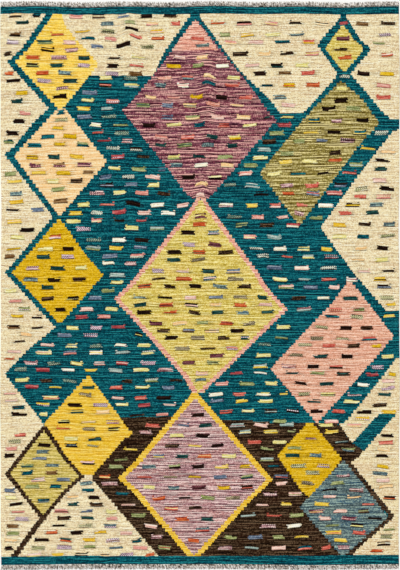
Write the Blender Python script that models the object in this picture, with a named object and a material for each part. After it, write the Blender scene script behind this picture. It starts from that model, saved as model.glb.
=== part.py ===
"""Flat-woven kilim rug, lying on a floor.

The cloth is one solid: a sheet whose top shows the wefts, beaten down course by course, as low ribs that run
across the rug. Where the weave has buckled a little, the ribs arch along the rug and rise in a soft pucker.
The warps that stick out past each end make a short fringe, rooted in the narrow cord of knots that locks it.

Metres, +Z up. X runs across the rug, Y along it, and the origin is on the floor under its middle.
"""

import math

import bmesh
import bpy
from mathutils import Vector

# Driving sizes
WIDTH = 1.500
COURSE = 0.014  # length of rug that one course of the pattern takes up, on average
COURSES = 150
LOOSENESS = 0.08  # the far half is beaten down less tightly than the near one
THICKNESS = 0.003
LENGTH = COURSES * COURSE

# Relief of the weave
RIB_HALF_HEIGHT = 0.0003  # crown above, and groove below, the mean thickness
SELVEDGE_WIDTH = 0.008
SELVEDGE_SWELL = 0.0004  # the wefts turn back over the outer warps there
SELVEDGE_EDGE_DROP = 0.0008
LINES_PER_COURSE = 2  # a groove and a crown
LINES = LINES_PER_COURSE * COURSES
LINES_PER_FOOT_POINT = 4
LEAST_SPACING = 0.05  # between a swell of the far end and any other column of points

# Unevenness of the outline and of the wefts: (amplitude, wavelength, phase in turns)
LEFT_WAVES = ((0.0014, 1.30, 0.10), (0.0008, 0.47, 0.65))
RIGHT_WAVES = ((0.0015, 1.05, 0.55), (0.0007, 0.39, 0.20))
FAR_END_WAVES = ((0.0018, 0.33, 0.10), (0.0012, 0.86, 0.15))
NEAR_END_WAVES = ((0.0015, 1.20, 0.40), (0.0009, 0.60, 0.05))
WEFT_WAVES = ((0.0016, 0.95, 0.30), (0.0009, 0.55, 0.80))
WEFT_WAVE_TURN = 1.4  # turns by which the weft waves shift from one end to the other
END_REACH = 0.16  # how far into the cloth an end's wave is felt

# Places where the weave has buckled. rise is along the rug, height off the floor.
BUCKLES = (
    {"x": -0.266, "y": 0.935, "half_width": 0.026, "half_length": 0.080, "rise": 0.018, "height": 0.0018},
    {"x": 0.026, "y": 0.720, "half_width": 0.022, "half_length": 0.150, "rise": 0.012, "height": 0.0018},
    {"x": 0.004, "y": 0.322, "half_width": 0.022, "half_length": 0.090, "rise": 0.011, "height": 0.0015},
    {"x": -0.266, "y": 0.296, "half_width": 0.026, "half_length": 0.080, "rise": 0.009, "height": 0.0015},
)

# Fringe
LOCKS = 120  # at each end
LOCK_PITCH = WIDTH / LOCKS
LOCK_ROOT_WIDTH = 0.0056
LOCK_TIP_SHARE = 0.45
LOCK_LENGTH = 0.0158
LOCK_LENGTH_SPREAD = 0.0016
LOCK_LEAN = 0.0022  # sideways, at the tip
KNOT_CORD_WIDTH = 0.004
KNOT_CORD_HEIGHT = 0.0026
CLEARANCE = 0.0003


def across():
    """X of the points that each weft line bends at.

    They are the selvedges, the middle and sides of each buckle, and the crests and hollows of the far end's waves,
    which lie half a wavelength apart.
    """
    half = WIDTH / 2
    selvedges = [-half, -half + SELVEDGE_WIDTH, half - SELVEDGE_WIDTH, half]
    buckled = sorted({round(b["x"] + side * b["half_width"], 4) for b in BUCKLES for side in (-1, 0, 1)})
    span, phase = FAR_END_WAVES[0][1:]
    first_crest = span * (0.25 - phase)
    steps = math.ceil(WIDTH / span)
    swells = [first_crest + step * span / 2 for step in range(-steps, steps + 1)]
    clear = [x for x in swells if min(abs(x - other) for other in selvedges + buckled) > LEAST_SPACING]
    return sorted(selvedges + buckled + [x for x in clear if abs(x) < half])


def course_y(course):
    """Y at which a course starts, before its wefts stray."""
    share = course / COURSES
    loosened = LOOSENESS * (math.cos(2 * math.pi * share) - 1) / (2 * math.pi)
    return LENGTH * (share + loosened - 0.5)


def waves(terms, place, shift=0.0):
    """Sum of slow waves at a place along an edge or a weft."""
    return sum(size * math.sin(2 * math.pi * (place / span + phase + shift)) for size, span, phase in terms)


def nearness(distance, half_width):
    """1 at no distance, falling smoothly to nothing past about two half widths."""
    return math.exp(-((distance / half_width) ** 2))


def end_share(distance):
    """How much of an end's wave is felt this far into the cloth."""
    inside = min(max(distance / END_REACH, 0.0), 1.0)
    return (1 - inside) ** 2


def weft_shift(x, y):
    """How far the weft that should lie at y strays along the rug at x."""
    to_far_end = LENGTH / 2 - y
    to_near_end = LENGTH / 2 + y
    far = end_share(to_far_end)
    near = end_share(to_near_end)
    strayed = waves(WEFT_WAVES, x, WEFT_WAVE_TURN * y / LENGTH) * (1 - far) * (1 - near)
    strayed += waves(FAR_END_WAVES, x) * far + waves(NEAR_END_WAVES, x) * near
    for b in BUCKLES:
        calm = 1 - far  # no buckle reaches the end itself
        strayed += b["rise"] * nearness(x - b["x"], b["half_width"]) * nearness(y - b["y"], b["half_length"]) * calm
    return strayed


def pucker(x, y):
    """Height that the buckles add to the cloth."""
    return sum(
        b["height"] * nearness(x - b["x"], b["half_width"]) * nearness(y - b["y"], b["half_length"]) for b in BUCKLES
    )


def edge_shift(x, y):
    """How far the selvedges draw the point at x sideways, full at the edge and nothing at the middle."""
    share = abs(x) / (WIDTH / 2)
    return (waves(LEFT_WAVES, y) if x < 0 else waves(RIGHT_WAVES, y)) * share**3


def surface_height(x, line):
    """Height of the top at a groove (even line) or a crown (odd line), with the selvedge's own roll."""
    half = WIDTH / 2
    crown = line % 2 == 1
    if abs(x) > half - SELVEDGE_WIDTH / 2:
        return THICKNESS - SELVEDGE_EDGE_DROP
    height = THICKNESS + (RIB_HALF_HEIGHT if crown else -RIB_HALF_HEIGHT)
    if abs(x) > half - 1.5 * SELVEDGE_WIDTH:
        height += SELVEDGE_SWELL
    return height


def cloth_point(x, line):
    """The point where a weft line crosses x, on top of the cloth."""
    y = course_y(line / LINES_PER_COURSE)
    return Vector((x + edge_shift(x, y), y + weft_shift(x, y), surface_height(x, line) + pucker(x, y)))


def cloth_material():
    """Wool, in the mean colour of the rug."""
    return plain_material("kilim_wool", (0.42, 0.40, 0.26), 0.92)


def warp_material():
    """Undyed warp yarn, cotton and wool twisted together."""
    return plain_material("warp_yarn", (0.52, 0.47, 0.42), 0.95)


def plain_material(name, colour, roughness):
    material = bpy.data.materials.new(name)
    material.use_nodes = True
    shader = material.node_tree.nodes["Principled BSDF"]
    shader.inputs["Base Color"].default_value = (*colour, 1.0)
    shader.inputs["Roughness"].default_value = roughness
    shader.inputs["Metallic"].default_value = 0.0
    return material


def new_object(name, bm, material):
    """Turns the bmesh into a named object, faces out, shaded smooth but for its edges."""
    bmesh.ops.recalc_face_normals(bm, faces=bm.faces)
    mesh = bpy.data.meshes.new(name)
    bm.to_mesh(mesh)
    bm.free()
    mesh.materials.append(material)
    mesh.shade_smooth()
    mesh.set_sharp_from_angle(angle=math.radians(40))
    obj = bpy.data.objects.new(name, mesh)
    bpy.context.scene.collection.objects.link(obj)
    return obj


def woven_body(material):
    """The cloth: a grid of weft lines shaped course by course, with walls down to a flat underside."""
    columns = across()
    bm = bmesh.new()
    bmesh.ops.create_grid(bm, x_segments=len(columns) - 1, y_segments=LINES, size=0.5)
    for vert in bm.verts:
        column = round((vert.co.x + 0.5) * (len(columns) - 1))
        line = round((vert.co.y + 0.5) * LINES)
        vert.co = cloth_point(columns[column], line)
    rim = [edge for edge in bm.edges if edge.is_boundary]
    walls = bmesh.ops.extrude_edge_only(bm, edges=rim)["geom"]
    foot = [item for item in walls if isinstance(item, bmesh.types.BMVert)]
    for vert in foot:
        vert.co.z = 0.0
    thin_out_foot(bm, foot)
    bmesh.ops.holes_fill(bm, edges=[edge for edge in bm.edges if edge.is_boundary])
    return new_object("kilim_body", bm, material)


def thin_out_foot(bm, foot):
    """Leaves one point in four along the foot of the long sides, where the ribs above need no more."""
    for side in (-1, 1):
        beside = sorted(
            (v for v in foot if v.is_valid and side * v.co.x > WIDTH / 2 - SELVEDGE_WIDTH / 2), key=lambda v: v.co.y
        )
        spare = [v for index, v in enumerate(beside) if index % LINES_PER_FOOT_POINT]
        bmesh.ops.dissolve_verts(bm, verts=spare)


def end_line(x, end):
    """Y of the cloth's end at x. end is 1 for the far end and -1 for the near one.

    Between two of the cloth's columns the end is a straight run, so that the fringe follows it exactly.
    """
    columns = across()
    line = LINES if end > 0 else 0
    corners = [cloth_point(column, line) for column in columns]
    for left, right in zip(corners, corners[1:]):
        if x <= right.x:
            share = (x - left.x) / (right.x - left.x)
            return left.y + share * (right.y - left.y)
    return corners[-1].y


def knot_cord_corners(end):
    """X along the knot cord: the cloth's own corners, and both sides of each lock's root."""
    line = LINES if end > 0 else 0
    corners = [cloth_point(column, line).x for column in across()]
    roots = []
    for lock in range(LOCKS):
        middle = -WIDTH / 2 + (lock + 0.5) * LOCK_PITCH
        roots += [middle - LOCK_ROOT_WIDTH / 2, middle + LOCK_ROOT_WIDTH / 2]
    return corners, roots


def fringe(name, end, material):
    """One end's fringe: a cord of knots along the cloth, parted from it by a hair, and its locks of warp ends."""
    corners, roots = knot_cord_corners(end)
    bm = bmesh.new()
    inner = [bm.verts.new((x, end_line(x, end) + end * CLEARANCE, 0.0)) for x in corners]
    outer = []
    for x in sorted(roots + [corners[0], corners[-1]]):
        y = end_line(x, end) + end * (CLEARANCE + KNOT_CORD_WIDTH)
        outer.append(bm.verts.new((x, y, 0.0)))
    bm.faces.new(inner + outer[::-1])
    base = bm.faces[:]
    raised = bmesh.ops.extrude_face_region(bm, geom=base)["geom"]
    for item in raised:
        if isinstance(item, bmesh.types.BMVert):
            item.co.z = KNOT_CORD_HEIGHT
    split_into_bays(bm, corners)
    bmesh.ops.recalc_face_normals(bm, faces=bm.faces)
    grow_locks(bm, end)
    return new_object(name, bm, material)


def split_into_bays(bm, corners):
    """Cuts the long top and bottom faces at each inner corner of the cloth, where the cord bends."""
    for x in corners[1:-1]:
        bmesh.ops.bisect_plane(
            bm, geom=bm.verts[:] + bm.edges[:] + bm.faces[:], plane_co=(x, 0, 0), plane_no=(1, 0, 0)
        )


def grow_locks(bm, end):
    """Draws a tapering lock out of the cord's outer wall at each root. The locks rest level on the floor."""
    for lock in range(LOCKS):
        middle = -WIDTH / 2 + (lock + 0.5) * LOCK_PITCH
        length = LOCK_LENGTH + LOCK_LENGTH_SPREAD * math.sin(2.4 * lock) * math.cos(0.37 * lock)
        lean = LOCK_LEAN * math.sin(1.7 * lock + 0.6 * math.sin(0.9 * lock))
        root = [f for f in bm.faces if is_root(f, middle, end)]
        tip = bmesh.ops.extrude_face_region(bm, geom=root)["geom"]
        bmesh.ops.delete(bm, geom=root, context="FACES_ONLY")
        for vert in (item for item in tip if isinstance(item, bmesh.types.BMVert)):
            vert.co.x = middle + lean + (vert.co.x - middle) * LOCK_TIP_SHARE
            vert.co.y += end * length
            vert.co.z *= LOCK_TIP_SHARE


def is_root(face, middle, end):
    """Whether a face is the piece of the cord's outer wall that carries the lock at middle."""
    centre = face.calc_center_median()
    outward = face.normal.y * end > 0.7
    return outward and abs(centre.x - middle) < LOCK_ROOT_WIDTH / 2


def main():
    for obj in list(bpy.data.objects):
        bpy.data.objects.remove(obj)
    wool = cloth_material()
    warp = warp_material()
    woven_body(wool)
    fringe("fringe_far", 1, warp)
    fringe("fringe_near", -1, warp)


main()
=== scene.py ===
import math
import random

import bmesh
import bpy
import numpy as np
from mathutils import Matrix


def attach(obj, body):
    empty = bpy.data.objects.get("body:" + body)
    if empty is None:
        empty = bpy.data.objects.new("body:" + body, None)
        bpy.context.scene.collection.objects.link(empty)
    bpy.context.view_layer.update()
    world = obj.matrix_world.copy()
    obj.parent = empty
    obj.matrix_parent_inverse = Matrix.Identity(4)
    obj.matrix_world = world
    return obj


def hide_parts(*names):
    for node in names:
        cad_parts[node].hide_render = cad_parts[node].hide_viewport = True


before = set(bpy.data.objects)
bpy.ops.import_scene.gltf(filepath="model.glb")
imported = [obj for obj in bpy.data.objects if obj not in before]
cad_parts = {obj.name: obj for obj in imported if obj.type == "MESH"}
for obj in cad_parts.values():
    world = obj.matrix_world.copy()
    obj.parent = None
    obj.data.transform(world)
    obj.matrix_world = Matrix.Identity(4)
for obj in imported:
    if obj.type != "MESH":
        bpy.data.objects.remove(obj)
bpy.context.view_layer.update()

bpy.ops.object.select_all(action="DESELECT")
print("frame loaded:", ", ".join(sorted(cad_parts)))

view = {"height": 5.07, "lens": 85, "sensor": 36, "aimX": 0.0, "aimY": 0.0020}


def addCamera():
    bpy.ops.object.camera_add(location=(view["aimX"], view["aimY"], view["height"]), rotation=(0, 0, 0))
    camera = bpy.context.object
    camera.name = "overheadCamera"
    camera.data.lens = view["lens"]
    camera.data.sensor_width = view["sensor"]
    camera.data.clip_start = 0.05
    camera.data.clip_end = 60
    bpy.context.scene.camera = camera


addCamera()
print("camera set")

# The cloth is a lattice of weft lines and warps. A course is one row of the pattern: two ribs, four bands.
cloth = {
    "width": 1.500,
    "length": 2.100,
    "courses": 150,
    "warps": 400,
    "linesPerCourse": 4,  # groove, crown, groove, crown
    "looseness": 0.08,  # the far half is beaten less tightly than the near one
    "thickness": 0.0030,
    "ribHeight": 0.00034,
    "edgeDrop": 0.0010,
    "selvedgeSwell": 0.0004,
    "selvedgeWarps": 4,
    "wobble": 0.0006,  # unevenness of each weft line
    "wobbleReach": 7,  # warps
    "slub": 0.00020,  # unevenness of its height
    "seed": 7,
}
warpPitch = cloth["width"] / cloth["warps"]
coursePitch = cloth["length"] / cloth["courses"]
lineCount = cloth["courses"] * cloth["linesPerCourse"]

# Slow waves as (amplitude, wavelength, phase in turns)
leftWaves = ((0.0014, 1.30, 0.10), (0.0008, 0.47, 0.65))
rightWaves = ((0.0015, 1.05, 0.55), (0.0007, 0.39, 0.20))
farWaves = ((0.0018, 0.33, 0.10), (0.0012, 0.86, 0.15))
nearWaves = ((0.0015, 1.20, 0.40), (0.0009, 0.60, 0.05))
weftWaves = ((0.0016, 0.95, 0.30), (0.0009, 0.55, 0.80))
weftWaveTurn = 1.4
endReach = 0.16

# Places where the weave has buckled: where, how wide and long, its rise along the rug, its height
buckles = (
    {"x": -0.266, "y": 0.935, "halfWidth": 0.026, "halfLength": 0.080, "rise": 0.018, "height": 0.0018},
    {"x": 0.026, "y": 0.720, "halfWidth": 0.022, "halfLength": 0.150, "rise": 0.012, "height": 0.0018},
    {"x": 0.004, "y": 0.322, "halfWidth": 0.022, "halfLength": 0.090, "rise": 0.011, "height": 0.0015},
    {"x": -0.266, "y": 0.296, "halfWidth": 0.026, "halfLength": 0.080, "rise": 0.009, "height": 0.0015},
)


def courseY(course):
    # height up the rug, from its middle, of a course line
    share = np.asarray(course) / cloth["courses"]
    loosened = cloth["looseness"] * (np.cos(2 * np.pi * share) - 1) / (2 * np.pi)
    return cloth["length"] * (share + loosened - 0.5)


def waves(terms, place, shift=0.0):
    return sum(size * np.sin(2 * np.pi * (place / span + phase + shift)) for size, span, phase in terms)


def nearness(distance, halfWidth):
    return np.exp(-((distance / halfWidth) ** 2))


def endShare(distance):
    return (1 - np.clip(distance / endReach, 0, 1)) ** 2


def buckleShare(b, x, y):
    return nearness(x - b["x"], b["halfWidth"]) * nearness(y - b["y"], b["halfLength"])


def weftShift(x, y):
    far = endShare(cloth["length"] / 2 - y)
    near = endShare(cloth["length"] / 2 + y)
    strayed = waves(weftWaves, x, weftWaveTurn * y / cloth["length"]) * (1 - far) * (1 - near)
    strayed = strayed + waves(farWaves, x) * far + waves(nearWaves, x) * near
    for b in buckles:
        strayed = strayed + b["rise"] * buckleShare(b, x, y) * (1 - far)
    return strayed


def pucker(x, y):
    return sum(b["height"] * buckleShare(b, x, y) for b in buckles)


def edgeShift(x, y):
    share = np.abs(x) / (cloth["width"] / 2)
    return np.where(x < 0, waves(leftWaves, y), waves(rightWaves, y)) * share**3


# The pattern is charted in millimetres from the left selvedge and from the near end. Each area has its ground
# yarn, its corners, the set of yarns for its dashes, how many courses lie between its rows of dashes in turn,
# and how many lie above the first. Later areas lie over earlier ones.
areas = [
    {"name": "field", "yarn": "teal", "dashes": "onTeal", "gaps": (2,) * 15 + (2, 2, 2, 3) * 5 + (2, 3) * 30,
     "first": 2, "corners": [(0, 0), (750, 0), (750, 2100), (0, 2100)]},
    {"name": "fieldRight", "yarn": "teal", "dashes": "onTeal", "gaps": (2,) * 20 + (3, 2, 3) * 30, "first": 2,
     "corners": [(750, 0), (1500, 0), (1500, 2100), (750, 2100)]},
    {"name": "creamLeft", "yarn": "cream", "dashes": "onCream",
     "gaps": (2, 3) * 9 + (2, 2, 3) * 6 + (2,) * 40, "first": 2,
     "corners": [(0, 0), (0, 2100), (175, 2100), (175, 2075), (80, 1940), (25, 1890), (180, 1715),
                 (130, 1670), (55, 1580), (15, 1545), (195, 1310), (15, 1100), (205, 895), (145, 845),
                 (95, 800), (15, 715), (160, 530), (160, 515), (25, 340), (160, 175), (45, 30), (45, 0)]},
    {"name": "creamTop", "yarn": "cream", "dashes": "onCream", "gaps": (2, 2, 2, 2, 3), "first": 2,
     "corners": [(180, 2100), (180, 2075), (230, 2060), (320, 1835), (570, 1835), (615, 1930),
                 (690, 2035), (720, 2075), (720, 2100)]},
    {"name": "creamFarRight", "yarn": "cream", "dashes": "onCream", "gaps": (3, 2, 3), "first": 4,
     "corners": [(750, 2100), (750, 2060), (900, 1860), (1015, 1750), (1050, 1700), (1140, 1700),
                 (1260, 1830), (1265, 1850), (1190, 1955), (1275, 2055), (1290, 2065), (1310, 2050),
                 (1355, 1975), (1390, 1945), (1390, 1935), (1315, 1845), (1350, 1805), (1440, 1700),
                 (1465, 1680), (1500, 1680), (1500, 2100)]},
    {"name": "creamRight", "yarn": "cream", "dashes": "onCream", "gaps": (2, 2, 3, 2, 2, 2, 2, 3, 3, 3, 3, 3),
     "first": 6,
     "corners": [(1500, 1640), (1475, 1630), (1330, 1440), (1205, 1270), (1320, 1110), (1450, 955),
                 (1500, 955)]},
    {"name": "creamLowRight", "yarn": "oat", "dashes": "onCream", "gaps": (2, 2, 2, 3), "first": 4,
     "corners": [(1500, 780), (1490, 780), (1385, 645), (1300, 540), (1275, 525), (1325, 455),
                 (1305, 400), (1485, 180), (1320, 35), (1320, 0), (1500, 0)]},
    {"name": "tealSlip", "yarn": "teal", "dashes": None,
     "corners": [(1425, 570), (1490, 570), (1370, 430), (1335, 405), (1320, 455)]},
    {"name": "brown", "yarn": "umber", "dashes": "onUmber", "gaps": (2, 3) * 4 + (3,) * 20, "first": 2,
     "corners": [(420, 560), (700, 560), (780, 545), (1275, 525), (1325, 455), (1365, 430), (1350, 405),
                 (1320, 385), (1460, 175), (1320, 30), (1320, 0), (595, 0), (595, 30), (335, 325),
                 (330, 340), (440, 480)]},
    {"name": "creamNear", "yarn": "cream", "dashes": "onCream", "gaps": (2,), "first": 2,
     "corners": [(310, 335), (345, 335), (340, 325), (595, 30), (595, 0), (45, 0), (45, 30), (165, 180),
                 (250, 280)]},
    {"name": "maize", "yarn": "maize", "dashes": "onYellow", "gaps": (2,), "first": 5,
     "corners": [(200, 2075), (230, 2070), (245, 2025), (285, 1975), (370, 1885), (235, 1715),
                 (215, 1715), (55, 1890)]},
    {"name": "peach", "yarn": "peach", "dashes": "onPeach", "gaps": (2, 2, 2, 2, 3), "first": 1,
     "corners": [(215, 1715), (240, 1715), (400, 1515), (225, 1315), (210, 1315), (50, 1540)]},
    {"name": "goldLeft", "yarn": "gold", "dashes": "onYellow", "gaps": (3, 2, 3), "first": 4,
     "corners": [(220, 1305), (320, 1165), (385, 1090), (225, 910), (210, 910), (40, 1100)]},
    {"name": "mauve", "yarn": "mauve", "dashes": "onMauve", "gaps": (2, 3), "first": 4,
     "corners": [(735, 2050), (920, 1825), (1020, 1690), (1045, 1675), (1020, 1655), (910, 1525),
                 (795, 1390), (770, 1370), (735, 1370), (705, 1390), (590, 1540), (455, 1710),
                 (480, 1730), (575, 1845)]},
    {"name": "salmonTip", "yarn": "salmon", "dashes": "onMauve", "gaps": (3, 2), "first": 1,
     "corners": [(730, 2050), (735, 2050), (820, 1935), (640, 1935)]},
    {"name": "smallLime", "yarn": "lime", "dashes": "onLime", "gaps": (3, 2), "first": 3,
     "corners": [(1285, 2030), (1300, 2020), (1330, 1975), (1365, 1945), (1360, 1930), (1300, 1860),
                 (1285, 1860), (1220, 1940)]},
    {"name": "olive", "yarn": "olive", "dashes": "onOlive", "gaps": (3, 2, 3, 3, 2), "first": 2,
     "corners": [(1280, 1820), (1360, 1750), (1425, 1660), (1360, 1590), (1130, 1285), (1120, 1285),
                 (990, 1455), (975, 1475), (1015, 1525), (1140, 1675)]},
    {"name": "centreLime", "yarn": "lime", "dashes": "onLime", "gaps": (2, 2, 3), "first": 3,
     "corners": [(735, 1365), (770, 1365), (820, 1300), (965, 1105), (1005, 1040), (1080, 960),
                 (765, 650), (720, 650), (685, 710), (500, 920), (425, 1000), (480, 1050), (605, 1205)]},
    {"name": "pink", "yarn": "pink", "dashes": "onPink", "gaps": (3, 2, 3), "first": 4,
     "corners": [(1305, 1065), (1320, 1065), (1480, 860), (1465, 845), (1195, 535), (1185, 535),
                 (1015, 735), (1250, 990)]},
    {"name": "amber", "yarn": "amber", "dashes": "onYellow", "gaps": (2, 3), "first": 3,
     "corners": [(325, 710), (335, 710), (485, 505), (500, 495), (460, 470), (345, 335), (310, 335),
                 (245, 395), (165, 510), (165, 530)]},
    {"name": "khaki", "yarn": "khaki", "dashes": "onKhaki", "gaps": (2,), "first": 4,
     "corners": [(165, 505), (245, 395), (300, 330), (250, 280), (160, 175), (25, 340)]},
    {"name": "lilac", "yarn": "lilac", "dashes": "onLilac", "gaps": (3,), "first": 2,
     "corners": [(725, 640), (740, 640), (1010, 325), (925, 240), (745, 35), (715, 35), (510, 270),
                 (450, 325), (520, 400)]},
    {"name": "goldRight", "yarn": "gold", "dashes": "onYellow", "gaps": (3, 2), "first": 4,
     "corners": [(1160, 535), (1170, 535), (1285, 395), (1170, 250), (1160, 250), (1130, 280),
                 (1040, 410)]},
    {"name": "slate", "yarn": "slate", "dashes": "onSlate", "gaps": (2,), "first": 4,
     "corners": [(1295, 395), (1460, 175), (1300, 30), (1285, 30), (1125, 215)]},
    {"name": "nearBandStep", "yarn": "teal", "dashes": None,
     "corners": [(975, 0), (975, 35), (1500, 35), (1500, 0)]},
]

# Outlines: stepped bands of one yarn, each as the line that it follows and its breadth to the right
outlines = [
    {"yarn": "teal", "breadth": 27,
     "line": [(175, 2075), (80, 1940), (25, 1890), (180, 1715), (130, 1670), (55, 1580), (15, 1545),
              (195, 1310), (15, 1100), (205, 895)]},
    {"yarn": "teal", "breadth": 24, "line": [(720, 2075), (690, 2035), (615, 1930)]},
    {"yarn": "teal", "breadth": 20, "line": [(1280, 2080), (1280, 2050)]},
    {"yarn": "salmon", "breadth": 21,
     "line": [(735, 1370), (605, 1205), (480, 1050), (425, 1000), (500, 920), (685, 710), (720, 650)]},
    {"yarn": "salmon", "breadth": -20,
     "line": [(770, 1370), (820, 1300), (965, 1105), (1005, 1040), (1080, 960), (765, 650)]},
    {"yarn": "amber", "breadth": 26, "line": [(720, 645), (510, 395), (440, 325), (500, 270), (705, 30)]},
    {"yarn": "amber", "breadth": -25, "line": [(740, 645), (1010, 335), (1025, 320), (940, 240),
                                               (750, 30)]},
    {"yarn": "umber", "breadth": 20, "line": [(155, 515), (15, 340), (150, 170)]},
    {"yarn": "umber", "breadth": -21, "line": [(175, 515), (255, 395), (315, 330), (260, 280), (180, 185)]},
    {"yarn": "umber", "breadth": -26, "line": [(180, 185), (60, 30)]},
    {"yarn": "umber", "breadth": -22, "line": [(1305, 400), (1485, 180), (1320, 35)]},
]
# An edge steps at each of a course's two ribs: how far they are from its middle, in courses, and how far a
# step may stray, in mm
steps = {"stray": 1.4, "ribs": (-0.1, 0.1), "seed": 5}
# The end bands' last value is how dark the painted shadow is along both rims of the cloth
endBands = {"yarn": "teal", "farBands": 8, "nearBands": 9, "rimShadow": 0.8}


def toWarp(millimetres):
    return int(round(np.clip(millimetres / 1000 / warpPitch, 0, cloth["warps"])))


def spansAcross(corners, y):
    # where a level line at y runs inside the corners
    crossings = []
    for (x0, y0), (x1, y1) in zip(corners, corners[1:] + corners[:1]):
        if (y0 <= y) != (y1 <= y):
            crossings.append(x0 + (x1 - x0) * (y - y0) / (y1 - y0))
    crossings.sort()
    return list(zip(crossings[::2], crossings[1::2]))


def outlineCorners(outline):
    line = outline["line"]
    return line + [(x + outline["breadth"], y) for x, y in line[::-1]]


def courseHeights(shift=0.0):
    # the middle of each course, in mm from the near end
    return 1000 * (courseY(np.arange(cloth["courses"]) + 0.5 + shift) + cloth["length"] / 2)


def chartAreas():
    # for each rib and warp, the number of the area that shows there, with the outlines numbered on
    picker = random.Random(steps["seed"])
    heights = np.stack([courseHeights(shift) for shift in steps["ribs"]], axis=1).ravel()
    chart = np.zeros((len(heights), cloth["warps"]), int)
    shapes = [area["corners"] for area in areas] + [outlineCorners(outline) for outline in outlines]
    for number, corners in enumerate(shapes):
        for rib, y in enumerate(heights):
            for left, right in spansAcross(corners, y):
                left += picker.uniform(-1, 1) * steps["stray"]
                right += picker.uniform(-1, 1) * steps["stray"]
                chart[rib, toWarp(left):toWarp(right)] = number
    return chart


# The yarns of the dashes on each ground; a yarn that is named more often is used more often
dashSets = {
    "onTeal": "ivory ivory straw straw lemon coral rosewood lilacMarl lilac blush sage mist coal umber "
              "straw rose ivoryMarl denim tealMarl sage",
    "onCream": "coal coal coal umber teal petrol coral rose straw gold amber blush slate rust sageMarl "
               "umber blush denim straw lilacMarl coal walnut coal peach sage",
    "onYellow": "coal umber petrol rust sage slate blush coal petrol peach rust coal lilacMarl coalMarl "
                "straw coal umber lilac coal sageMarl petrol",
    "onPeach": "petrol umber mauve sage gold coal walnut mauve teal walnut sageMarl straw salmon coal amber",
    "onMauve": "peach ivory straw coal petrol salmon gold coral denim peach teal blush sage coal slate rose",
    "onLime": "coal umber rust petrol petrol plum slate sage peach blush coal rust coalMarl umber lilacMarl "
              "denim",
    "onOlive": "coal rust ivory lemon teal lilac straw denim coal coral umber straw sage",
    "onPink": "coal petrol teal sageMarl umber amber coalMarl gold coral coal sage lilac straw umber coal "
              "petrol",
    "onKhaki": "teal rust slate denim coal lilac mauve petrol sage walnut blush straw",
    "onLilac": "straw coral slate denim petrol coal lemon sage umber peach gold rust coalMarl coal plum",
    "onSlate": "coal lemon blush teal straw coral coral mauve lilac peach umber coal sage",
    "onUmber": "ivory lemon straw coral slate blush teal denim lilac sage blush rust mist sage",
}

dash = {
    "length": 12.6,  # warps
    "lengthSpread": 1.8,
    "shortest": 7,
    "pitch": 24.5,
    "pitchSpread": 1.8,
    "edge": 4,  # warps of ground kept between a dash and the area's edge
    "start": (5, 13),
    "narrow": 3,  # pitches: in a run shorter than this, the spare room is shared between both sides
    "narrowShare": (0.15, 0.85),  # where in the spare room its first dash starts
    "leastStep": 2,  # warps below the usual length that a short dash still takes up
    "missing": 0.03,
    "ragged": (-1, 0, 0, 0, 1),  # how many warps the end of a band stands out
    "shortBand": 0.22,  # how often its top or bottom band covers only a part of it
    "shortBy": (3, 7),
    "shortBands": (0, 3, 3),
    "shortEnds": (0, 0, 1),
    "swell": 0.0003,  # how far it spreads over the courses beside it
    "tilt": 0.0015,  # how far its ends rise and fall
    "mostTilt": 0.0036,
    "bow": 0.0009,
    "puff": 0.00035,
    "column": 3,  # warps between columns inside a dash
    "tickShare": 0.4,
    "tickRight": 0.75,  # how many of the ticks are at the right
    "lowerShadow": 1.0,  # how dark the painted shadow is along its lower edge, and the painted shade along its upper edge and its ends
    "upperShade": 0.6,
    "endShade": 0.4,
    "trailShare": 0.14,  # how often a dark line runs on to the next dash
    "trailDark": 0.6,
}

# The kinds of dash: which of its four bands are in its yarn (1), in a second yarn (2) or in the ground (0),
# and how often the kind is used
dashKinds = (
    ((1, 1, 1, 1), 11), ((1, 2, 1, 1), 1.5), ((1, 1, 2, 1), 1.5), ((2, 2, 1, 1), 1.5), ((0, 1, 1, 1), 3),
    ((0, 1, 1, 0), 2.5), ((1, 1, 0, 1), 0.8),
)
# The lines from below a dash to above it: each one's share of the dash's bend, and of its swell
dashLines = ((-1, 0.5, -0.5), (0, 1, -1), (1, 1, -0.5), (2, 1, 0), (3, 1, 0.5), (4, 1, 1), (5, 0.5, 0.5))


def yarnNames():
    names = [area["yarn"] for area in areas] + [outline["yarn"] for outline in outlines]
    for text in dashSets.values():
        names += text.split()
    return sorted(set(names))


yarns = yarnNames()


def rowsOfDashes(area, heights):
    # the courses of an area that hold dashes
    top = max(y for x, y in area["corners"])
    low = min(y for x, y in area["corners"])
    inside = [course for course, y in enumerate(heights) if low < y < top]
    rows = []
    course = inside[-1] - area["first"]
    while course >= inside[0]:
        rows.append(course)
        course -= area["gaps"][(len(rows) - 1) % len(area["gaps"])]
    return rows


def freeRuns(line, number):
    # runs of warps in one course that show the area
    shows = np.concatenate([[0], (line == number).astype(int), [0]])
    change = np.flatnonzero(np.diff(shows))
    return list(zip(change[::2], change[1::2]))


def placeDashes(chart):
    picker = random.Random(cloth["seed"])
    heights = courseHeights()
    placed = []
    for number, area in enumerate(areas):
        if area["dashes"]:
            choices = dashSets[area["dashes"]].split()
            above = {}
            for course in rowsOfDashes(area, heights):
                for left, right in freeRuns(chart[len(steps["ribs"]) * course], number):
                    placed += rowOfDashes(picker, course, left, right, choices, above)
    return placed


def bandEnds(picker):
    # how far each of a dash's four bands starts and stops short of it
    ends = [[picker.choice(dash["ragged"]), picker.choice(dash["ragged"])] for band in range(4)]
    if picker.random() < dash["shortBand"]:
        shortBy = picker.randint(*dash["shortBy"])
        band, end = picker.choice(dash["shortBands"]), picker.choice(dash["shortEnds"])
        ends[band][end] = shortBy
    return ends


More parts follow.
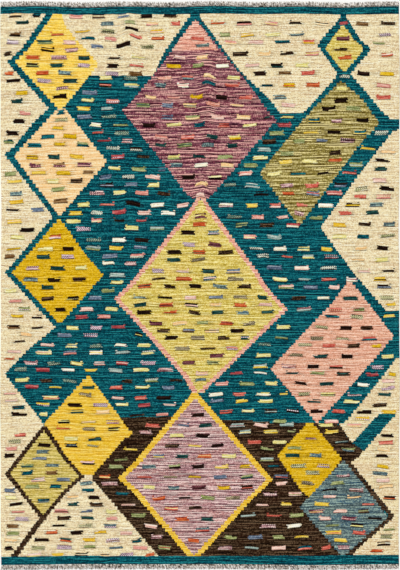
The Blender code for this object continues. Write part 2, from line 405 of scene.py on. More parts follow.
def rowOfDashes(picker, course, left, right, choices, above):
    # above holds the yarn last used near each place, so that a yarn isn't set below itself
    made = []
    kinds, often = zip(*dashKinds)
    warp = left + picker.uniform(*dash["start"])
    if right - left < dash["narrow"] * dash["pitch"]:
        room = right - left - 2 * dash["edge"]
        count = max(1, int((room + dash["pitch"] - dash["length"]) / dash["pitch"]))
        slack = room - (count - 1) * dash["pitch"] - dash["length"]
        warp = left + dash["edge"] + max(0, slack) * picker.uniform(*dash["narrowShare"])
    last = None
    before = None  # where the dash before it ended
    while True:
        size = dash["length"] + picker.uniform(-1, 1) * dash["lengthSpread"]
        size = min(size, right - dash["edge"] - warp)
        if size < dash["shortest"]:
            return made
        if picker.random() > dash["missing"]:
            place = round(warp / dash["pitch"])
            last = picker.choice([name for name in choices if name not in (last, above.get(place))])
            above[place] = last
            made.append({
                "course": course,
                "from": int(round(warp)),
                "to": int(round(warp + size)),
                "yarn": last,
                "second": picker.choice(choices),
                "kind": picker.choices(kinds, often)[0],
                "tilt": np.clip(picker.gauss(0, dash["tilt"]), -dash["mostTilt"], dash["mostTilt"]),
                "bow": picker.gauss(0, dash["bow"]),
                "ends": bandEnds(picker),
                "tick": picker.random() < dash["tickRight"] if picker.random() < dash["tickShare"] else None,
                "trail": before if picker.random() < dash["trailShare"] else None,
            })
            before = made[-1]["to"]
        warp += max(size, dash["length"] - dash["leastStep"]) + dash["pitch"] - dash["length"]
        warp += picker.uniform(-1, 1) * dash["pitchSpread"]


def weaveYarns(chart, placed):
    # the yarn on each warp, for each band between two lines
    bands = cloth["linesPerCourse"]
    areaYarns = [a["yarn"] for a in areas] + [o["yarn"] for o in outlines]
    numbers = np.array([yarns.index(name) for name in areaYarns])
    woven = np.repeat(numbers[chart], bands // len(steps["ribs"]), axis=0)
    for d in placed:
        line = d["course"] * bands
        dyed = {1: yarns.index(d["yarn"]), 2: yarns.index(d["second"])}
        for step, which in enumerate(d["kind"]):
            if which:
                start, stop = d["ends"][step]
                woven[line + step, d["from"] + start:d["to"] - stop] = dyed[which]
        if d["tick"] is not None:  # the yarn's end turns up into the next course, at the left or the right
            start = d["to"] - 2 if d["tick"] else d["from"]
            woven[line + bands, start:start + 2] = dyed[1]
    woven[:endBands["nearBands"]] = yarns.index(endBands["yarn"])
    woven[-endBands["farBands"]:] = yarns.index(endBands["yarn"])
    return woven


def dashRelief(placed):
    # how far the dashes lift the lattice and push it along the rug, and the painted shade round them and
    # along the rims
    lift = np.zeros((lineCount + 1, cloth["warps"] + 1))
    push = np.zeros_like(lift)
    shadeLines = np.zeros_like(lift)
    for d in placed:
        line = d["course"] * cloth["linesPerCourse"]
        first, last = d["from"], d["to"]
        along = np.linspace(-1, 1, last - first + 1)
        lift[line + 1:line + 4, first + 1:last] += dash["puff"]
        bend = d["tilt"] * along + d["bow"] * (1 - along**2)
        for step, bends, swells in dashLines:
            if 0 < line + step < lineCount:
                push[line + step, first:last + 1] += bends * bend + swells * dash["swell"]
        # painted shade round the dash: a painted shadow along its lower edge, lighter along its upper edge
        # and its ends
        lower = line if d["kind"][0] else line + 1
        upper = line + 4 if d["kind"][3] else line + 3
        for end in (first, last):
            shadeLines[lower + 1:upper, end] = dash["endShade"]
        if d["trail"]:
            shadeLines[line, d["trail"]:first] = dash["trailDark"]
        shadeLines[lower, first:last + 1] = dash["lowerShadow"]
        shadeLines[upper, first:last + 1] = dash["upperShade"]
    shadeLines[:endBands["nearBands"]] = shadeLines[-endBands["farBands"]:] = 0
    # a painted shadow along both rims of the cloth
    shadeLines[0] = shadeLines[-1] = endBands["rimShadow"]
    return lift, push, shadeLines


def unevenness(chooser, size, reach):
    # a random wander along every weft line
    knots = cloth["warps"] // reach + 2
    drawn = chooser.uniform(-size, size, (lineCount + 1, knots))
    at = np.arange(cloth["warps"] + 1) / reach
    return np.array([np.interp(at, np.arange(knots), row) for row in drawn])


def latticePoints(lift, push):
    # every crossing of a weft line and a warp, on top of the cloth
    chooser = np.random.default_rng(cloth["seed"])
    lines = np.arange(lineCount + 1)
    warps = np.arange(cloth["warps"] + 1)
    x = warps[None, :] * warpPitch - cloth["width"] / 2
    y = courseY(lines / cloth["linesPerCourse"])[:, None]
    wander = unevenness(chooser, cloth["wobble"], cloth["wobbleReach"])
    wander[0] = wander[-1] = 0
    slub = unevenness(chooser, cloth["slub"], 3 * cloth["wobbleReach"])
    rib = np.where(lines % 2 == 1, cloth["ribHeight"], -cloth["ribHeight"])[:, None]
    z = cloth["thickness"] + rib + lift + slub + pucker(x, y)
    fromEdge = np.minimum(warps, cloth["warps"] - warps)
    z = z + np.where((fromEdge > 0) & (fromEdge < cloth["selvedgeWarps"]), cloth["selvedgeSwell"], 0)
    z = z - np.where(fromEdge == 0, cloth["edgeDrop"], 0)
    z[0] = z[-1] = cloth["thickness"] - cloth["edgeDrop"]
    return np.stack([x + edgeShift(x, y), y + weftShift(x, y) + push + wander, z], axis=2)


# Warps between columns of the mesh where nothing changes, on top and underneath, and heights underneath
grid = {"topColumn": 7, "underColumn": 16, "underGroove": 0.0003, "underEdge": 0.0007}


def columnsOf(woven, course, step, inDashes):
    # the warps where something changes in a course, and enough others between them
    bands = cloth["linesPerCourse"]
    lines = woven[course * bands:(course + 1) * bands]
    changes = np.flatnonzero((lines[:, 1:] != lines[:, :-1]).any(axis=0)) + 1
    selvedge = {0, 1, cloth["selvedgeWarps"]}
    columns = set(int(c) for c in changes) | selvedge | {cloth["warps"] - c for c in selvedge}
    for first, last in inDashes:
        columns |= {first + 1, last - 1} | set(range(first + 1 + dash["column"], last - 2, dash["column"]))
    plain = (w for w in range(0, cloth["warps"], step) if min(abs(w - c) for c in columns) > 2)
    return sorted(columns | set(plain))


def alongLine(columns, line):
    # a line between two courses bends at the columns of both
    bands = cloth["linesPerCourse"]
    if line % bands:
        return columns[line // bands]
    beside = [c for c in (line // bands - 1, line // bands) if 0 <= c < cloth["courses"]]
    return sorted(set().union(*(columns[c] for c in beside)))


def underHeight(line, warp):
    if warp in (0, cloth["warps"]) or line in (0, lineCount):
        return grid["underEdge"]
    return 0.0 if line % cloth["linesPerCourse"] else grid["underGroove"]


def inRange(row, left, right):
    return [row[w] for w in range(left, right + 1) if w in row]


def addObject(mesh):
    mesh.shade_smooth()
    obj = bpy.data.objects.new(mesh.name, mesh)
    bpy.context.scene.collection.objects.link(obj)
    return obj


def buildCloth():
    bands = cloth["linesPerCourse"]
    chart = chartAreas()
    placed = placeDashes(chart)
    woven = weaveYarns(chart, placed)
    lift, push, shadeLines = dashRelief(placed)
    points = latticePoints(lift, push)
    inDashes = [[] for course in range(cloth["courses"])]
    for d in placed:
        inDashes[d["course"]].append((d["from"], d["to"]))
    top = [columnsOf(woven, c, grid["topColumn"], inDashes[c]) for c in range(cloth["courses"])]
    low = [columnsOf(woven, c, grid["underColumn"], []) for c in range(cloth["courses"])]
    low[0], low[-1] = top[0], top[-1]  # the rim joins them
    vertices, places, lineShades, faces, faceYarns = [], [], [], [], []

    def layLine(columns, line, under):
        row = {}
        for warp in alongLine(columns, line):
            x, y, z = points[line, warp]
            row[warp] = len(vertices)
            vertices.append((x, y, underHeight(line, warp) if under else z))
            places.append((warp * warpPitch, line / bands * coursePitch))
            lineShades.append(0.0 if under else shadeLines[line, warp])
        return row

    def addFace(loop, yarn, flipped):
        faces.append(loop[::-1] if flipped else loop)
        faceYarns.append(int(yarn))

    def addBand(lower, upper, columns, yarnLine, flipped):
        for left, right in zip(columns, columns[1:]):
            addFace(inRange(lower, left, right) + inRange(upper, left, right)[::-1], yarnLine[left], flipped)

    topRows = [layLine(top, line, False) for line in range(lineCount + 1)]
    lowRows = {line: layLine(low, line, True) for line in range(0, lineCount + 1, 2)}
    for line in range(lineCount):
        addBand(topRows[line], topRows[line + 1], top[line // bands], woven[line], False)
    for line in range(0, lineCount, 2):
        addBand(lowRows[line], lowRows[line + 2], low[line // bands], woven[line + 1], True)
    # the four walls of the rim
    for line in range(0, lineCount, 2):
        for warp, flipped in ((0, False), (cloth["warps"], True)):
            loop = [topRows[line + k][warp] for k in (0, 1, 2)]
            loop += [lowRows[line + 2][warp], lowRows[line][warp]]
            addFace(loop, woven[line, min(warp, cloth["warps"] - 1)], flipped)
    for line, flipped in ((0, True), (lineCount, False)):
        keys = sorted(lowRows[line])
        for left, right in zip(keys, keys[1:]):
            loop = inRange(topRows[line], left, right)[::-1] + [lowRows[line][left], lowRows[line][right]]
            addFace(loop, woven[min(line, lineCount - 1), left], flipped)

    mesh = bpy.data.meshes.new("kilimCloth")
    mesh.from_pydata(vertices, [], faces)
    mesh.update()
    mesh.polygons.foreach_set("material_index", np.array(faceYarns, np.int32))
    corners = np.zeros(len(mesh.loops), np.int32)
    mesh.loops.foreach_get("vertex_index", corners)
    weave = mesh.uv_layers.new(name="weave")
    weave.uv.foreach_set("vector", np.array(places, np.float32)[corners].ravel())
    # the painted shade at each point of the top, which the wool darkens by
    shadeDark = mesh.attributes.new("shadeLines", "FLOAT", "POINT")
    shadeDark.data.foreach_set("value", np.array(lineShades, np.float32))
    triangles = sum(len(f) - 2 for f in faces)
    print("cloth:", len(placed), "dashes,", len(vertices), "points,", triangles, "triangles")
    return addObject(mesh)


def colourOf(red, green, blue):
    # display values, 0 to 255, to Blender's linear ones
    linear = (((c / 255 + 0.055) / 1.055) ** 2.4 if c > 10 else c / 255 / 12.92 for c in (red, green, blue))
    return (*linear, 1.0)


def feed(tree, socket, value):
    if isinstance(value, bpy.types.NodeSocket):
        tree.links.new(value, socket)
    else:
        socket.default_value = value


def maths(tree, operation, *values, clamp=False):
    node = tree.nodes.new("ShaderNodeMath")
    node.operation = operation
    node.use_clamp = clamp
    for socket, value in zip(node.inputs, values):
        feed(tree, socket, value)
    return node.outputs[0]


def plus(tree, a, b):
    return maths(tree, "ADD", a, b)


def minus(tree, a, b, clamp=False):
    return maths(tree, "SUBTRACT", a, b, clamp=clamp)


def times(tree, a, b, clamp=False):
    return maths(tree, "MULTIPLY", a, b, clamp=clamp)


def ratio(tree, a, b):
    return maths(tree, "DIVIDE", a, b)


def wholePart(tree, value):
    return maths(tree, "FLOOR", value)


def humps(tree, angle):
    return maths(tree, "ABSOLUTE", maths(tree, "SINE", angle))


def rise(tree, value, start, sharp):
    # 0 up to the start, then up to 1, the sooner the sharper
    return times(tree, minus(tree, value, start), sharp, clamp=True)


def spots(tree, x, y, across, along, deep):
    # where a point lies in a noise with so many spots per metre
    return combine(tree, times(tree, x, across), times(tree, y, along), deep)


def combine(tree, x, y, z):
    node = tree.nodes.new("ShaderNodeCombineXYZ")
    for socket, value in zip(node.inputs, (x, y, z)):
        feed(tree, socket, value)
    return node.outputs[0]


def separate(tree, vector):
    node = tree.nodes.new("ShaderNodeSeparateXYZ")
    feed(tree, node.inputs[0], vector)
    return node.outputs[0], node.outputs[1], node.outputs[2]


def noise(tree, vector, detail=1.0, roughness=0.5):
    node = tree.nodes.new("ShaderNodeTexNoise")
    feed(tree, node.inputs["Vector"], vector)
    node.inputs["Scale"].default_value = 1.0
    node.inputs["Detail"].default_value = detail
    node.inputs["Roughness"].default_value = roughness
    return node.outputs["Fac"]


def speckle(tree, vector):
    node = tree.nodes.new("ShaderNodeTexWhiteNoise")
    feed(tree, node.inputs["Vector"], vector)
    return node.outputs["Value"]


def blend(tree, factor, first, second):
    node = tree.nodes.new("ShaderNodeMix")
    node.data_type = "RGBA"
    feed(tree, node.inputs[0], factor)
    feed(tree, node.inputs[6], first)
    feed(tree, node.inputs[7], second)
    return node.outputs[2]


def newGroup(name, inputs, outputs):
    group = bpy.data.node_groups.new(name, "ShaderNodeTree")
    kinds = {"vector": "NodeSocketVector", "colour": "NodeSocketColor", "value": "NodeSocketFloat"}
    for label, kind in inputs.items():
        group.interface.new_socket(name=label, in_out="INPUT", socket_type=kinds[kind])
    for label, kind in outputs.items():
        group.interface.new_socket(name=label, in_out="OUTPUT", socket_type=kinds[kind])
    return group, group.nodes.new("NodeGroupInput").outputs, group.nodes.new("NodeGroupOutput").inputs


weaveScale = {
    "rib": coursePitch / 2,
    "pick": coursePitch / 4,
    "warp": warpPitch,
    "pickStep": 0.55,
    "stitchPitch": 2 * warpPitch,
    "rowReach": 0.05,  # how long a row of clear stitches runs, in metres
    "lotAcross": 7.0,  # patches of a stray dye lot, per metre
    "lotAlong": 0.31,  # and per rib
    "lineReach": 0.09,  # how long the painted shade lines between ribs run, in metres
    "lineShare": 0.47,
}
# Pairs say where an effect starts and how sharply it sets in
wool = {
    "drift": (3.0, 0.62),  # detail and roughness of the noise
    "picksApart": 3.71,  # steps that set picks, rows and lines apart in the noise
    "rowsApart": 2.93,
    "linesApart": 5.3,
    "lots": (0.45, 5.0),
    "ticks": (0.68, 5.0),
    "tickRows": 0.75,  # how rare rows of ticks are, and how much a yarn's notch takes off that
    "tickRowNotch": 0.5,
    "tickRowSharp": 8.0,
    # how dark the painted shade ticks are, and how strong the painted highlight on the stitches between them
    "tickDark": 0.85,
    "highlightBetween": 0.5,
    "lineDark": 0.6,
    "lineSharp": 7.0,
    "hollowShade": 1.3,  # how broad the painted shade line between two ribs is, and how sharp
    "hollowShadeSharp": 1.9,
    "shadeBase": 0.6,  # how dark the painted shade round a dash is between its teeth, and what a tooth adds
    "shadeTooth": 0.4,
    "shadeThin": 1.6,
    # the colour of the painted shade: round the dashes, in the ticks and between ribs
    "shadeDark": (24, 14, 8),
    "hairs": (500.0, 1600.0, 0.0),  # spots per metre across and along, and the slice of the noise
    "hairHeight": 0.5,
}


def handspunGroup():
    # handspun weft: the colour drifts along each pick, jumps from pick to pick and from bead to bead,
    # with painted shade in ticks, between ribs and round the dashes, and painted highlight on stitches
    group, given, out = newGroup(
        "handspun",
        {"Weave": "vector", "Seam": "value", "Base": "colour", "Shade": "colour", "Tint": "colour",
         "Stray": "colour", "Contrast": "value", "Reach": "value", "Bead": "value", "Furrow": "value",
         "Notch": "value", "Lots": "value", "Batch": "value"},
        {"Color": "colour"},
    )
    x, y, unused = separate(group, given["Weave"])
    batch = given["Batch"]
    pick = wholePart(group, ratio(group, y, weaveScale["pick"]))
    ribPlace = ratio(group, y, weaveScale["rib"])
    along = ratio(group, x, given["Reach"])

    def drift(which):
        place = combine(group, along, times(group, which, wool["picksApart"]), batch)
        return noise(group, place, *wool["drift"])

    # a pick stands out most from the one that lies on it
    pickTone = times(group, drift(plus(group, pick, 1.0)), weaveScale["pickStep"])
    pickTone = minus(group, drift(pick), pickTone)
    over = plus(group, ratio(group, x, weaveScale["warp"]), times(group, pick, 0.5))
    beadTone = speckle(group, combine(group, wholePart(group, over), pick, batch))
    middle = 0.5 * (1 - weaveScale["pickStep"])
    tone = times(group, minus(group, pickTone, middle), given["Contrast"])
    beads = times(group, minus(group, beadTone, 0.5), given["Bead"])
    tone = plus(group, tone, beads)
    # the weft sinks between every second pair of warps, and the next pick between the others
    stitch = times(group, x, math.pi / weaveScale["stitchPitch"])
    stitch = plus(group, stitch, times(group, pick, math.pi / 2))
    stitch = humps(group, stitch)
    rowPlace = combine(group, ratio(group, x, weaveScale["rowReach"]), times(group, pick, wool["rowsApart"]),
                       batch)
    rowTone = noise(group, rowPlace, 1.0)
    # patches of another dye lot
    lots = combine(
        group,
        times(group, x, weaveScale["lotAcross"]),
        times(group, wholePart(group, ribPlace), weaveScale["lotAlong"]),
        batch,
    )
    lots = rise(group, noise(group, lots, 2.0), *wool["lots"])
    colour = blend(group, times(group, lots, given["Lots"]), given["Base"], given["Stray"])
    colour = blend(group, times(group, tone, -1.0, clamp=True), colour, given["Shade"])
    colour = blend(group, times(group, tone, 1.0, clamp=True), colour, given["Tint"])
    # rows of short ticks of painted shade, where the weft sinks between its stitches, with a painted
    # highlight on the stitches between them
    tick = rise(group, stitch, *wool["ticks"])
    rowLimit = minus(group, wool["tickRows"], times(group, given["Notch"], wool["tickRowNotch"]))
    ticked = rise(group, rowTone, rowLimit, wool["tickRowSharp"])
    # colours of the painted shade: a near-black, and for ticks and rib lines the yarn's own shade darkened
    shadeDark = colourOf(*wool["shadeDark"])
    line = blend(group, wool["lineDark"], given["Shade"], shadeDark)
    stitchHighlight = times(group, minus(group, 1.0, tick), ticked)
    colour = blend(group, times(group, stitchHighlight, wool["highlightBetween"]), colour, given["Tint"])
    colour = blend(group, times(group, times(group, tick, ticked), wool["tickDark"]), colour, line)
    # painted shade lines in the hollows between ribs, broken here and there
    wave = humps(group, times(group, ribPlace, math.pi))
    hollowShade = minus(group, wool["hollowShade"], times(group, wave, wool["hollowShadeSharp"]), clamp=True)
    which = times(group, wholePart(group, plus(group, ribPlace, 0.5)), wool["linesApart"])
    run = noise(group, combine(group, ratio(group, x, weaveScale["lineReach"]), which, batch), 2.0)
    run = rise(group, run, weaveScale["lineShare"], wool["lineSharp"])
    hollowShade = times(group, times(group, hollowShade, run), given["Furrow"])
    colour = blend(group, hollowShade, colour, line)
    # the painted shade round the dashes and along the rims is toothed by the warps
    toothed = plus(group, wool["shadeBase"], times(group, tick, wool["shadeTooth"]))
    thin = maths(group, "POWER", given["Seam"], wool["shadeThin"])
    colour = blend(group, times(group, thin, toothed), colour, shadeDark)
    group.links.new(colour, out["Color"])
    return group


def reliefGroup():
    # the weave's fine relief: beads of weft over the warps, and loose hairs
    group, given, out = newGroup("weaveRelief", {"Weave": "vector"}, {"Height": "value"})
    x, y, unused = separate(group, given["Weave"])
    finePick = weaveScale["pick"] / 2
    row = wholePart(group, ratio(group, y, finePick))
    over = plus(group, ratio(group, x, weaveScale["warp"]), times(group, row, 0.5))
    bead = humps(group, times(group, over, math.pi))
    across = humps(group, times(group, y, math.pi / finePick))
    hairs = spots(group, x, y, *wool["hairs"])
    height = times(group, bead, across)
    height = plus(group, height, times(group, noise(group, hairs, 2.0), wool["hairHeight"]))
    group.links.new(height, out["Height"])
    return group


handspun = handspunGroup()
relief = reliefGroup()

# Each yarn's colour, the shade and the tint it drifts to and a stray dye lot, as display colours, 0 to 255
dyes = {
    "teal": ((0, 70, 82), (0, 30, 42), (34, 135, 140), (0, 88, 104)),
    "cream": ((243, 225, 177), (190, 158, 120), (255, 252, 226), (228, 201, 157)),
    "oat": ((240, 221, 170), (190, 156, 118), (255, 250, 222), (226, 197, 152)),
    "maize": ((255, 217, 86), (216, 160, 24), (255, 240, 160), (252, 198, 92)),
    "amber": ((239, 194, 50), (206, 146, 4), (255, 232, 128), (248, 202, 84)),
    "gold": ((223, 177, 4), (172, 126, 0), (250, 214, 84), (234, 192, 34)),
    "peach": ((250, 212, 152), (226, 172, 104), (255, 244, 206), (255, 204, 142)),
    "olive": ((155, 138, 70), (84, 66, 12), (240, 224, 158), (142, 132, 58)),
    "khaki": ((215, 190, 96), (152, 124, 38), (248, 230, 160), (195, 182, 84)),
    "lime": ((221, 198, 92), (168, 142, 38), (255, 242, 168), (238, 199, 120)),
    "mauve": ((139, 70, 84), (56, 16, 32), (244, 186, 174), (128, 78, 102)),
    "salmon": ((240, 174, 148), (180, 100, 84), (255, 222, 200), (230, 150, 128)),
    "pink": ((235, 177, 146), (190, 116, 88), (255, 222, 198), (228, 156, 130)),
    "lilac": ((201, 147, 141), (98, 54, 64), (250, 222, 213), (176, 132, 146)),
    "slate": ((94, 112, 114), (38, 56, 60), (172, 196, 180), (64, 102, 124)),
    "umber": ((42, 26, 11), (6, 0, 0), (114, 90, 66), (58, 30, 16)),
    "coal": ((20, 8, 4), (4, 0, 0), (52, 30, 22), (28, 12, 6)),
    "petrol": ((14, 56, 54), (2, 26, 26), (66, 108, 98), (10, 70, 68)),
    "rust": ((206, 84, 40), (150, 48, 14), (236, 142, 92), (212, 100, 46)),
    "coral": ((216, 102, 82), (162, 56, 48), (244, 164, 142), (206, 84, 68)),
    "rosewood": ((176, 66, 70), (114, 30, 36), (216, 126, 118), (190, 80, 80)),
    "rose": ((234, 160, 142), (190, 106, 94), (252, 208, 190), (226, 142, 130)),
    "blush": ((246, 204, 184), (204, 146, 130), (255, 236, 222), (240, 188, 170)),
    "plum": ((98, 44, 54), (50, 14, 24), (156, 98, 100), (110, 54, 66)),
    "walnut": ((120, 84, 46), (68, 40, 12), (170, 134, 92), (110, 78, 38)),
    "sage": ((152, 160, 102), (96, 104, 54), (202, 204, 152), (162, 174, 94)),
    "straw": ((242, 230, 148), (206, 184, 88), (255, 250, 208), (228, 222, 126)),
    "lemon": ((246, 210, 74), (210, 162, 26), (255, 236, 148), (244, 216, 90)),
    "ivory": ((255, 250, 226), (220, 206, 164), (255, 255, 248), (252, 242, 204)),
    "mist": ((170, 188, 178), (108, 130, 122), (216, 226, 214), (150, 180, 166)),
    "denim": ((104, 122, 142), (54, 66, 92), (176, 184, 194), (120, 130, 142)),
    "lilacMarl": ((206, 164, 178), (70, 32, 46), (255, 240, 242), (196, 150, 170)),
    "ivoryMarl": ((206, 212, 190), (24, 62, 62), (255, 254, 232), (200, 200, 160)),
    "tealMarl": ((64, 116, 108), (6, 36, 40), (200, 210, 180), (70, 110, 90)),
    "sageMarl": ((172, 172, 116), (50, 50, 26), (240, 230, 184), (150, 160, 100)),
    "coalMarl": ((104, 88, 68), (16, 10, 6), (222, 204, 158), (80, 64, 50)),
}

# How a yarn is spun and packed: contrast and bead say how strongly its colour drifts, reach how long the
# streaks are, furrow how dark the painted shade lines between the ribs are, notch how many rows get painted
# shade ticks and lots how much of the stray shows. A yarn in ways differs from the plain one, and a marl
# has more ticks.
plainYarn = {"contrast": 5.5, "reach": 0.08, "bead": 0.8, "furrow": 0.45, "notch": 0.1, "lots": 0.5}
marlNotch = 0.7
ways = {
    "teal": {"contrast": 6.2, "reach": 0.11, "bead": 1.1, "notch": 0.15},
    "cream": {"contrast": 3.2, "reach": 0.06, "bead": 1.1, "furrow": 0.3, "notch": 0.05, "lots": 0.7},
    "oat": {"contrast": 3.2, "reach": 0.06, "bead": 1.1, "furrow": 0.3, "notch": 0.05, "lots": 0.7},
    "maize": {"contrast": 4.5, "reach": 0.11, "furrow": 0.35},
    "amber": {"contrast": 5.0, "reach": 0.11, "furrow": 0.35},
    "gold": {"contrast": 4.8, "reach": 0.10, "bead": 1.0, "furrow": 0.35},
    "peach": {"contrast": 4.2, "furrow": 0.3},
    "olive": {"contrast": 7.0, "reach": 0.13, "bead": 1.0, "furrow": 0.55, "notch": 0.15},
    "khaki": {"reach": 0.10},
    "lime": {"reach": 0.10, "bead": 1.1, "furrow": 0.4},
    "mauve": {"contrast": 7.5, "reach": 0.14, "bead": 0.9, "furrow": 0.95, "notch": 0.35},
    "pink": {"contrast": 5.2, "reach": 0.10, "bead": 1.0, "notch": 0.15},
    "lilac": {"contrast": 8.0, "reach": 0.14, "bead": 1.0, "furrow": 0.9, "notch": 0.4},
    "slate": {"contrast": 5.6, "reach": 0.12, "bead": 1.0, "furrow": 0.5, "lots": 0.8},
    "umber": {"contrast": 5.8, "reach": 0.11, "bead": 1.0, "furrow": 0.5, "notch": 0.15, "lots": 0.6},
}

# How matt the wool and the warp ends are, and how strong and how high the weave's fine relief is
matt = {"roughness": 0.95, "shine": 0.06, "relief": 0.7, "reliefHeight": 0.0005}
batches = {"first": 3.1, "step": 1.7}  # each yarn's own place in the noise


def mattMaterial(name):
    material = bpy.data.materials.new(name)
    material.use_nodes = True
    shader = material.node_tree.nodes["Principled BSDF"]
    shader.inputs["Roughness"].default_value = matt["roughness"]
    shader.inputs["Specular IOR Level"].default_value = matt["shine"]
    return material, material.node_tree, shader


def woolMaterial(name, batch):
    way = {**plainYarn, **ways.get(name, {})}
    if name.endswith("Marl"):
        way["notch"] = marlNotch
    material, tree, shader = mattMaterial("wool_" + name)
    place = tree.nodes.new("ShaderNodeUVMap")
    place.uv_map = "weave"
    # the painted shade round the dashes and along the rims
    lineShades = tree.nodes.new("ShaderNodeAttribute")
    lineShades.attribute_name = "shadeLines"
    dye = tree.nodes.new("ShaderNodeGroup")
    dye.node_tree = handspun
    for label, colour in zip(("Base", "Shade", "Tint", "Stray"), dyes[name]):
        dye.inputs[label].default_value = colourOf(*colour)
    for label, value in way.items():
        dye.inputs[label.capitalize()].default_value = value
    dye.inputs["Batch"].default_value = batch
    bumps = tree.nodes.new("ShaderNodeGroup")
    bumps.node_tree = relief
    bump = tree.nodes.new("ShaderNodeBump")
    bump.inputs["Strength"].default_value = matt["relief"]
    bump.inputs["Distance"].default_value = matt["reliefHeight"]
    tree.links.new(place.outputs["UV"], dye.inputs["Weave"])
    tree.links.new(lineShades.outputs["Fac"], dye.inputs["Seam"])
    tree.links.new(place.outputs["UV"], bumps.inputs["Weave"])
    tree.links.new(bumps.outputs["Height"], bump.inputs["Height"])
    tree.links.new(dye.outputs["Color"], shader.inputs["Base Color"])
    tree.links.new(bump.outputs["Normal"], shader.inputs["Normal"])
    return material


kilim = buildCloth()
for number, name in enumerate(yarns):
    kilim.data.materials.append(woolMaterial(name, batches["first"] + batches["step"] * number))
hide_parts("kilim_body")
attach(kilim, "root")
print("cloth woven,", len(yarns), "yarns")

fringe = {
    "layers": (0.0016, 0.0006),  # height of each layer of strands where it leaves the cloth
    "layerShare": (0.6, 1),  # how far up its layer a strand starts
    "length": 0.0165,
    "spread": 0.0030,
    "spreadShare": (-1, 0.5),  # more strands are short than long
    "thickness": 0.0030,
    "thicknessShare": (0.75, 1.25),
    "place": (0.3, 0.7),  # where a strand leaves the cloth, in warps
    "lean": 0.0034,
    "leanStep": 0.5,  # how much the lean changes from strand to strand, and how fast it fades
    "leanFade": 0.15,
    "sway": 0.0015,
    "bow": 0.0010,
    "rings": 4,
    "taper": 0.45,
    "waist": 0.8,  # every second ring's share of the thickness
    "twist": 0.6,  # radians from ring to ring
    "flatness": 0.7,
    "rest": 0.75,  # how high a strand's middle lies, in radii
    "cordWidth": 0.004,
    "cordHeight": 0.0026,
    "cordGap": 0.0003,
    "knot": 0.00375,
    "betweenKnots": 0.78,
    "startIn": 0.7,  # how far across the cord a strand starts
    "seed": 11,
}


def endY(x, end):
    y = end * cloth["length"] / 2
    return float(y + weftShift(np.float64(x), np.float64(y)))


def addStrand(bm, start, bend, length, thickness, end):
    # a four-sided strand of twisted warp that lies along the floor and thins to its tip
    rings = []
    for step in range(fringe["rings"] + 1):
        share = step / fringe["rings"]
        radius = thickness / 2 * (1 - fringe["taper"] * share**2) * (fringe["waist"] if step % 2 else 1.0)
        x = start[0] + bend[0] * share + bend[1] * math.sin(math.pi * share)
        y = start[1] + end * length * share
        z = start[2] * (1 - share) + radius * fringe["rest"]
        ring = []
        for corner in range(4):
            angle = math.pi / 2 * corner + fringe["twist"] * step
            height = max(0.0, z + fringe["flatness"] * radius * math.sin(angle))
            ring.append(bm.verts.new((x + radius * math.cos(angle), y, height)))
        rings.append(ring)
    for lower, upper in zip(rings, rings[1:]):
        for k in range(4):
            bm.faces.new((lower[k], lower[(k + 1) % 4], upper[(k + 1) % 4], upper[k]))
    bm.faces.new(rings[0][::-1])
    bm.faces.new(rings[-1])


def addCord(bm, end):
    # the knotted cord along the cloth's end: a rounded bar that swells at every knot
    knots = int(cloth["width"] / fringe["knot"])
    rings = []
    for number, x in enumerate(np.linspace(-cloth["width"] / 2, cloth["width"] / 2, 2 * knots + 1)):
        swell = 1.0 if number % 2 else fringe["betweenKnots"]
        middle = endY(x, end) + end * (fringe["cordGap"] + fringe["cordWidth"] / 2)
        x += float(edgeShift(np.float64(x), np.float64(end * cloth["length"] / 2)))
        ring = []
        for corner in range(6):
            angle = 2 * math.pi * (corner + 0.5) / 6
            y = middle + fringe["cordWidth"] / 2 * swell * math.cos(angle)
            z = fringe["cordHeight"] / 2 * (1 + swell * math.sin(angle))
            ring.append(bm.verts.new((x, y, z)))
        rings.append(ring)
    for left, right in zip(rings, rings[1:]):
        for k in range(6):
            bm.faces.new((left[k], right[k], right[(k + 1) % 6], left[(k + 1) % 6]))
    bm.faces.new(rings[0])
    bm.faces.new(rings[-1][::-1])


def buildFringe(name, end):
    picker = random.Random(fringe["seed"] + end)
    bm = bmesh.new()
    addCord(bm, end)
    for height in fringe["layers"]:
        lean = 0.0
        for number in range(cloth["warps"]):
            x = -cloth["width"] / 2 + (number + picker.uniform(*fringe["place"])) * warpPitch
            lean += picker.uniform(-1, 1) * fringe["leanStep"] * fringe["lean"] - fringe["leanFade"] * lean
            length = fringe["length"] + picker.uniform(*fringe["spreadShare"]) * fringe["spread"]
            y = endY(x, end) + end * fringe["cordWidth"] * fringe["startIn"]
            start = (x, y, height * picker.uniform(*fringe["layerShare"]))
            bend = (lean + picker.uniform(-1, 1) * fringe["sway"], picker.uniform(-1, 1) * fringe["bow"])
            thickness = fringe["thickness"] * picker.uniform(*fringe["thicknessShare"])
            addStrand(bm, start, bend, length, thickness, end)
    bmesh.ops.recalc_face_normals(bm, faces=bm.faces)
    mesh = bpy.data.meshes.new(name)
    bm.to_mesh(mesh)
    bm.free()
    print(name, len(mesh.polygons), "faces")
    return addObject(mesh)


warpEnds = {
    "slant": 0.4,
    "strands": (170.0, 110.0, 0.0),  # spots per metre across and along, and the slice of the noise
    "patches": (24.0, 30.0, 4.0),
    "strandShare": 0.8,
    "patchShare": 0.2,
    "sharp": 9.0,
    "grey": (190, 178, 164),
    # the colour of the painted shade between the strands
    "shadeDark": (50, 38, 30),
    "light": (255, 250, 242),
}


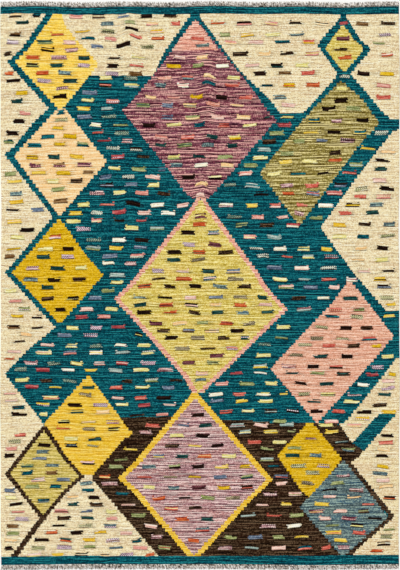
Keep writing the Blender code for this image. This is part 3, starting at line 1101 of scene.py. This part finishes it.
def warpMaterial():
    # undyed warp ends, grey and ivory, mottled from strand to strand, with painted shade between the strands
    material, tree, shader = mattMaterial("warpEnds")
    place = tree.nodes.new("ShaderNodeTexCoord")
    x, y, unused = separate(tree, place.outputs["Object"])
    slant = plus(tree, x, times(tree, y, warpEnds["slant"]))
    strand = spots(tree, slant, y, *warpEnds["strands"])
    patch = spots(tree, x, y, *warpEnds["patches"])
    tone = times(tree, noise(tree, strand, 2.0, 0.6), warpEnds["strandShare"])
    tone = plus(tree, tone, times(tree, noise(tree, patch), warpEnds["patchShare"]))
    # where the painted shade between the strands shows
    shadeDark = rise(tree, 0.5, tone, warpEnds["sharp"])
    light = rise(tree, tone, 0.5, warpEnds["sharp"])
    colour = blend(tree, shadeDark, colourOf(*warpEnds["grey"]), colourOf(*warpEnds["shadeDark"]))
    colour = blend(tree, light, colour, colourOf(*warpEnds["light"]))
    tree.links.new(colour, shader.inputs["Base Color"])
    return material


warpYarn = warpMaterial()
fringes = {"farFringe": (1, "fringe_far"), "nearFringe": (-1, "fringe_near")}
for name, (end, node) in fringes.items():
    piece = buildFringe(name, end)
    piece.data.materials.append(warpYarn)
    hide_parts(node)
    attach(piece, "root")
print("fringe made")

studio = {
    "floorSize": 160.0,  # its edge stays out of low views
    "floorDrop": 0.0002,
    "floorColour": (248, 248, 246),
    "floorRoughness": 0.85,
    "skyStrength": 0.62,
    "keyStrength": 1.9,
    "keyAngle": 12.0,  # degrees, how soft the key light is
    "keyTip": 48.0,  # degrees from overhead
    "keyFrom": 105.0,  # degrees round from +X: from the far end, a little to the left
}


def addFloor():
    bpy.ops.mesh.primitive_plane_add(size=studio["floorSize"], location=(0, 0, -studio["floorDrop"]))
    floor = bpy.context.object
    floor.name = "studioFloor"
    material = bpy.data.materials.new("paleFloor")
    material.use_nodes = True
    shader = material.node_tree.nodes["Principled BSDF"]
    shader.inputs["Base Color"].default_value = colourOf(*studio["floorColour"])
    shader.inputs["Roughness"].default_value = studio["floorRoughness"]
    floor.data.materials.append(material)


def addLight():
    world = bpy.data.worlds.new("softStudio")
    bpy.context.scene.world = world
    world.use_nodes = True
    sky = world.node_tree.nodes["Background"]
    sky.inputs["Color"].default_value = (1.0, 1.0, 1.0, 1.0)
    sky.inputs["Strength"].default_value = studio["skyStrength"]
    bpy.ops.object.light_add(type="SUN")
    key = bpy.context.object
    key.name = "keyLight"
    key.data.energy = studio["keyStrength"]
    key.data.angle = math.radians(studio["keyAngle"])
    key.rotation_euler = (math.radians(studio["keyTip"]), 0, math.radians(studio["keyFrom"] + 90))
    bpy.context.scene.view_settings.view_transform = "Standard"


addFloor()
addLight()
print("floor and light set")
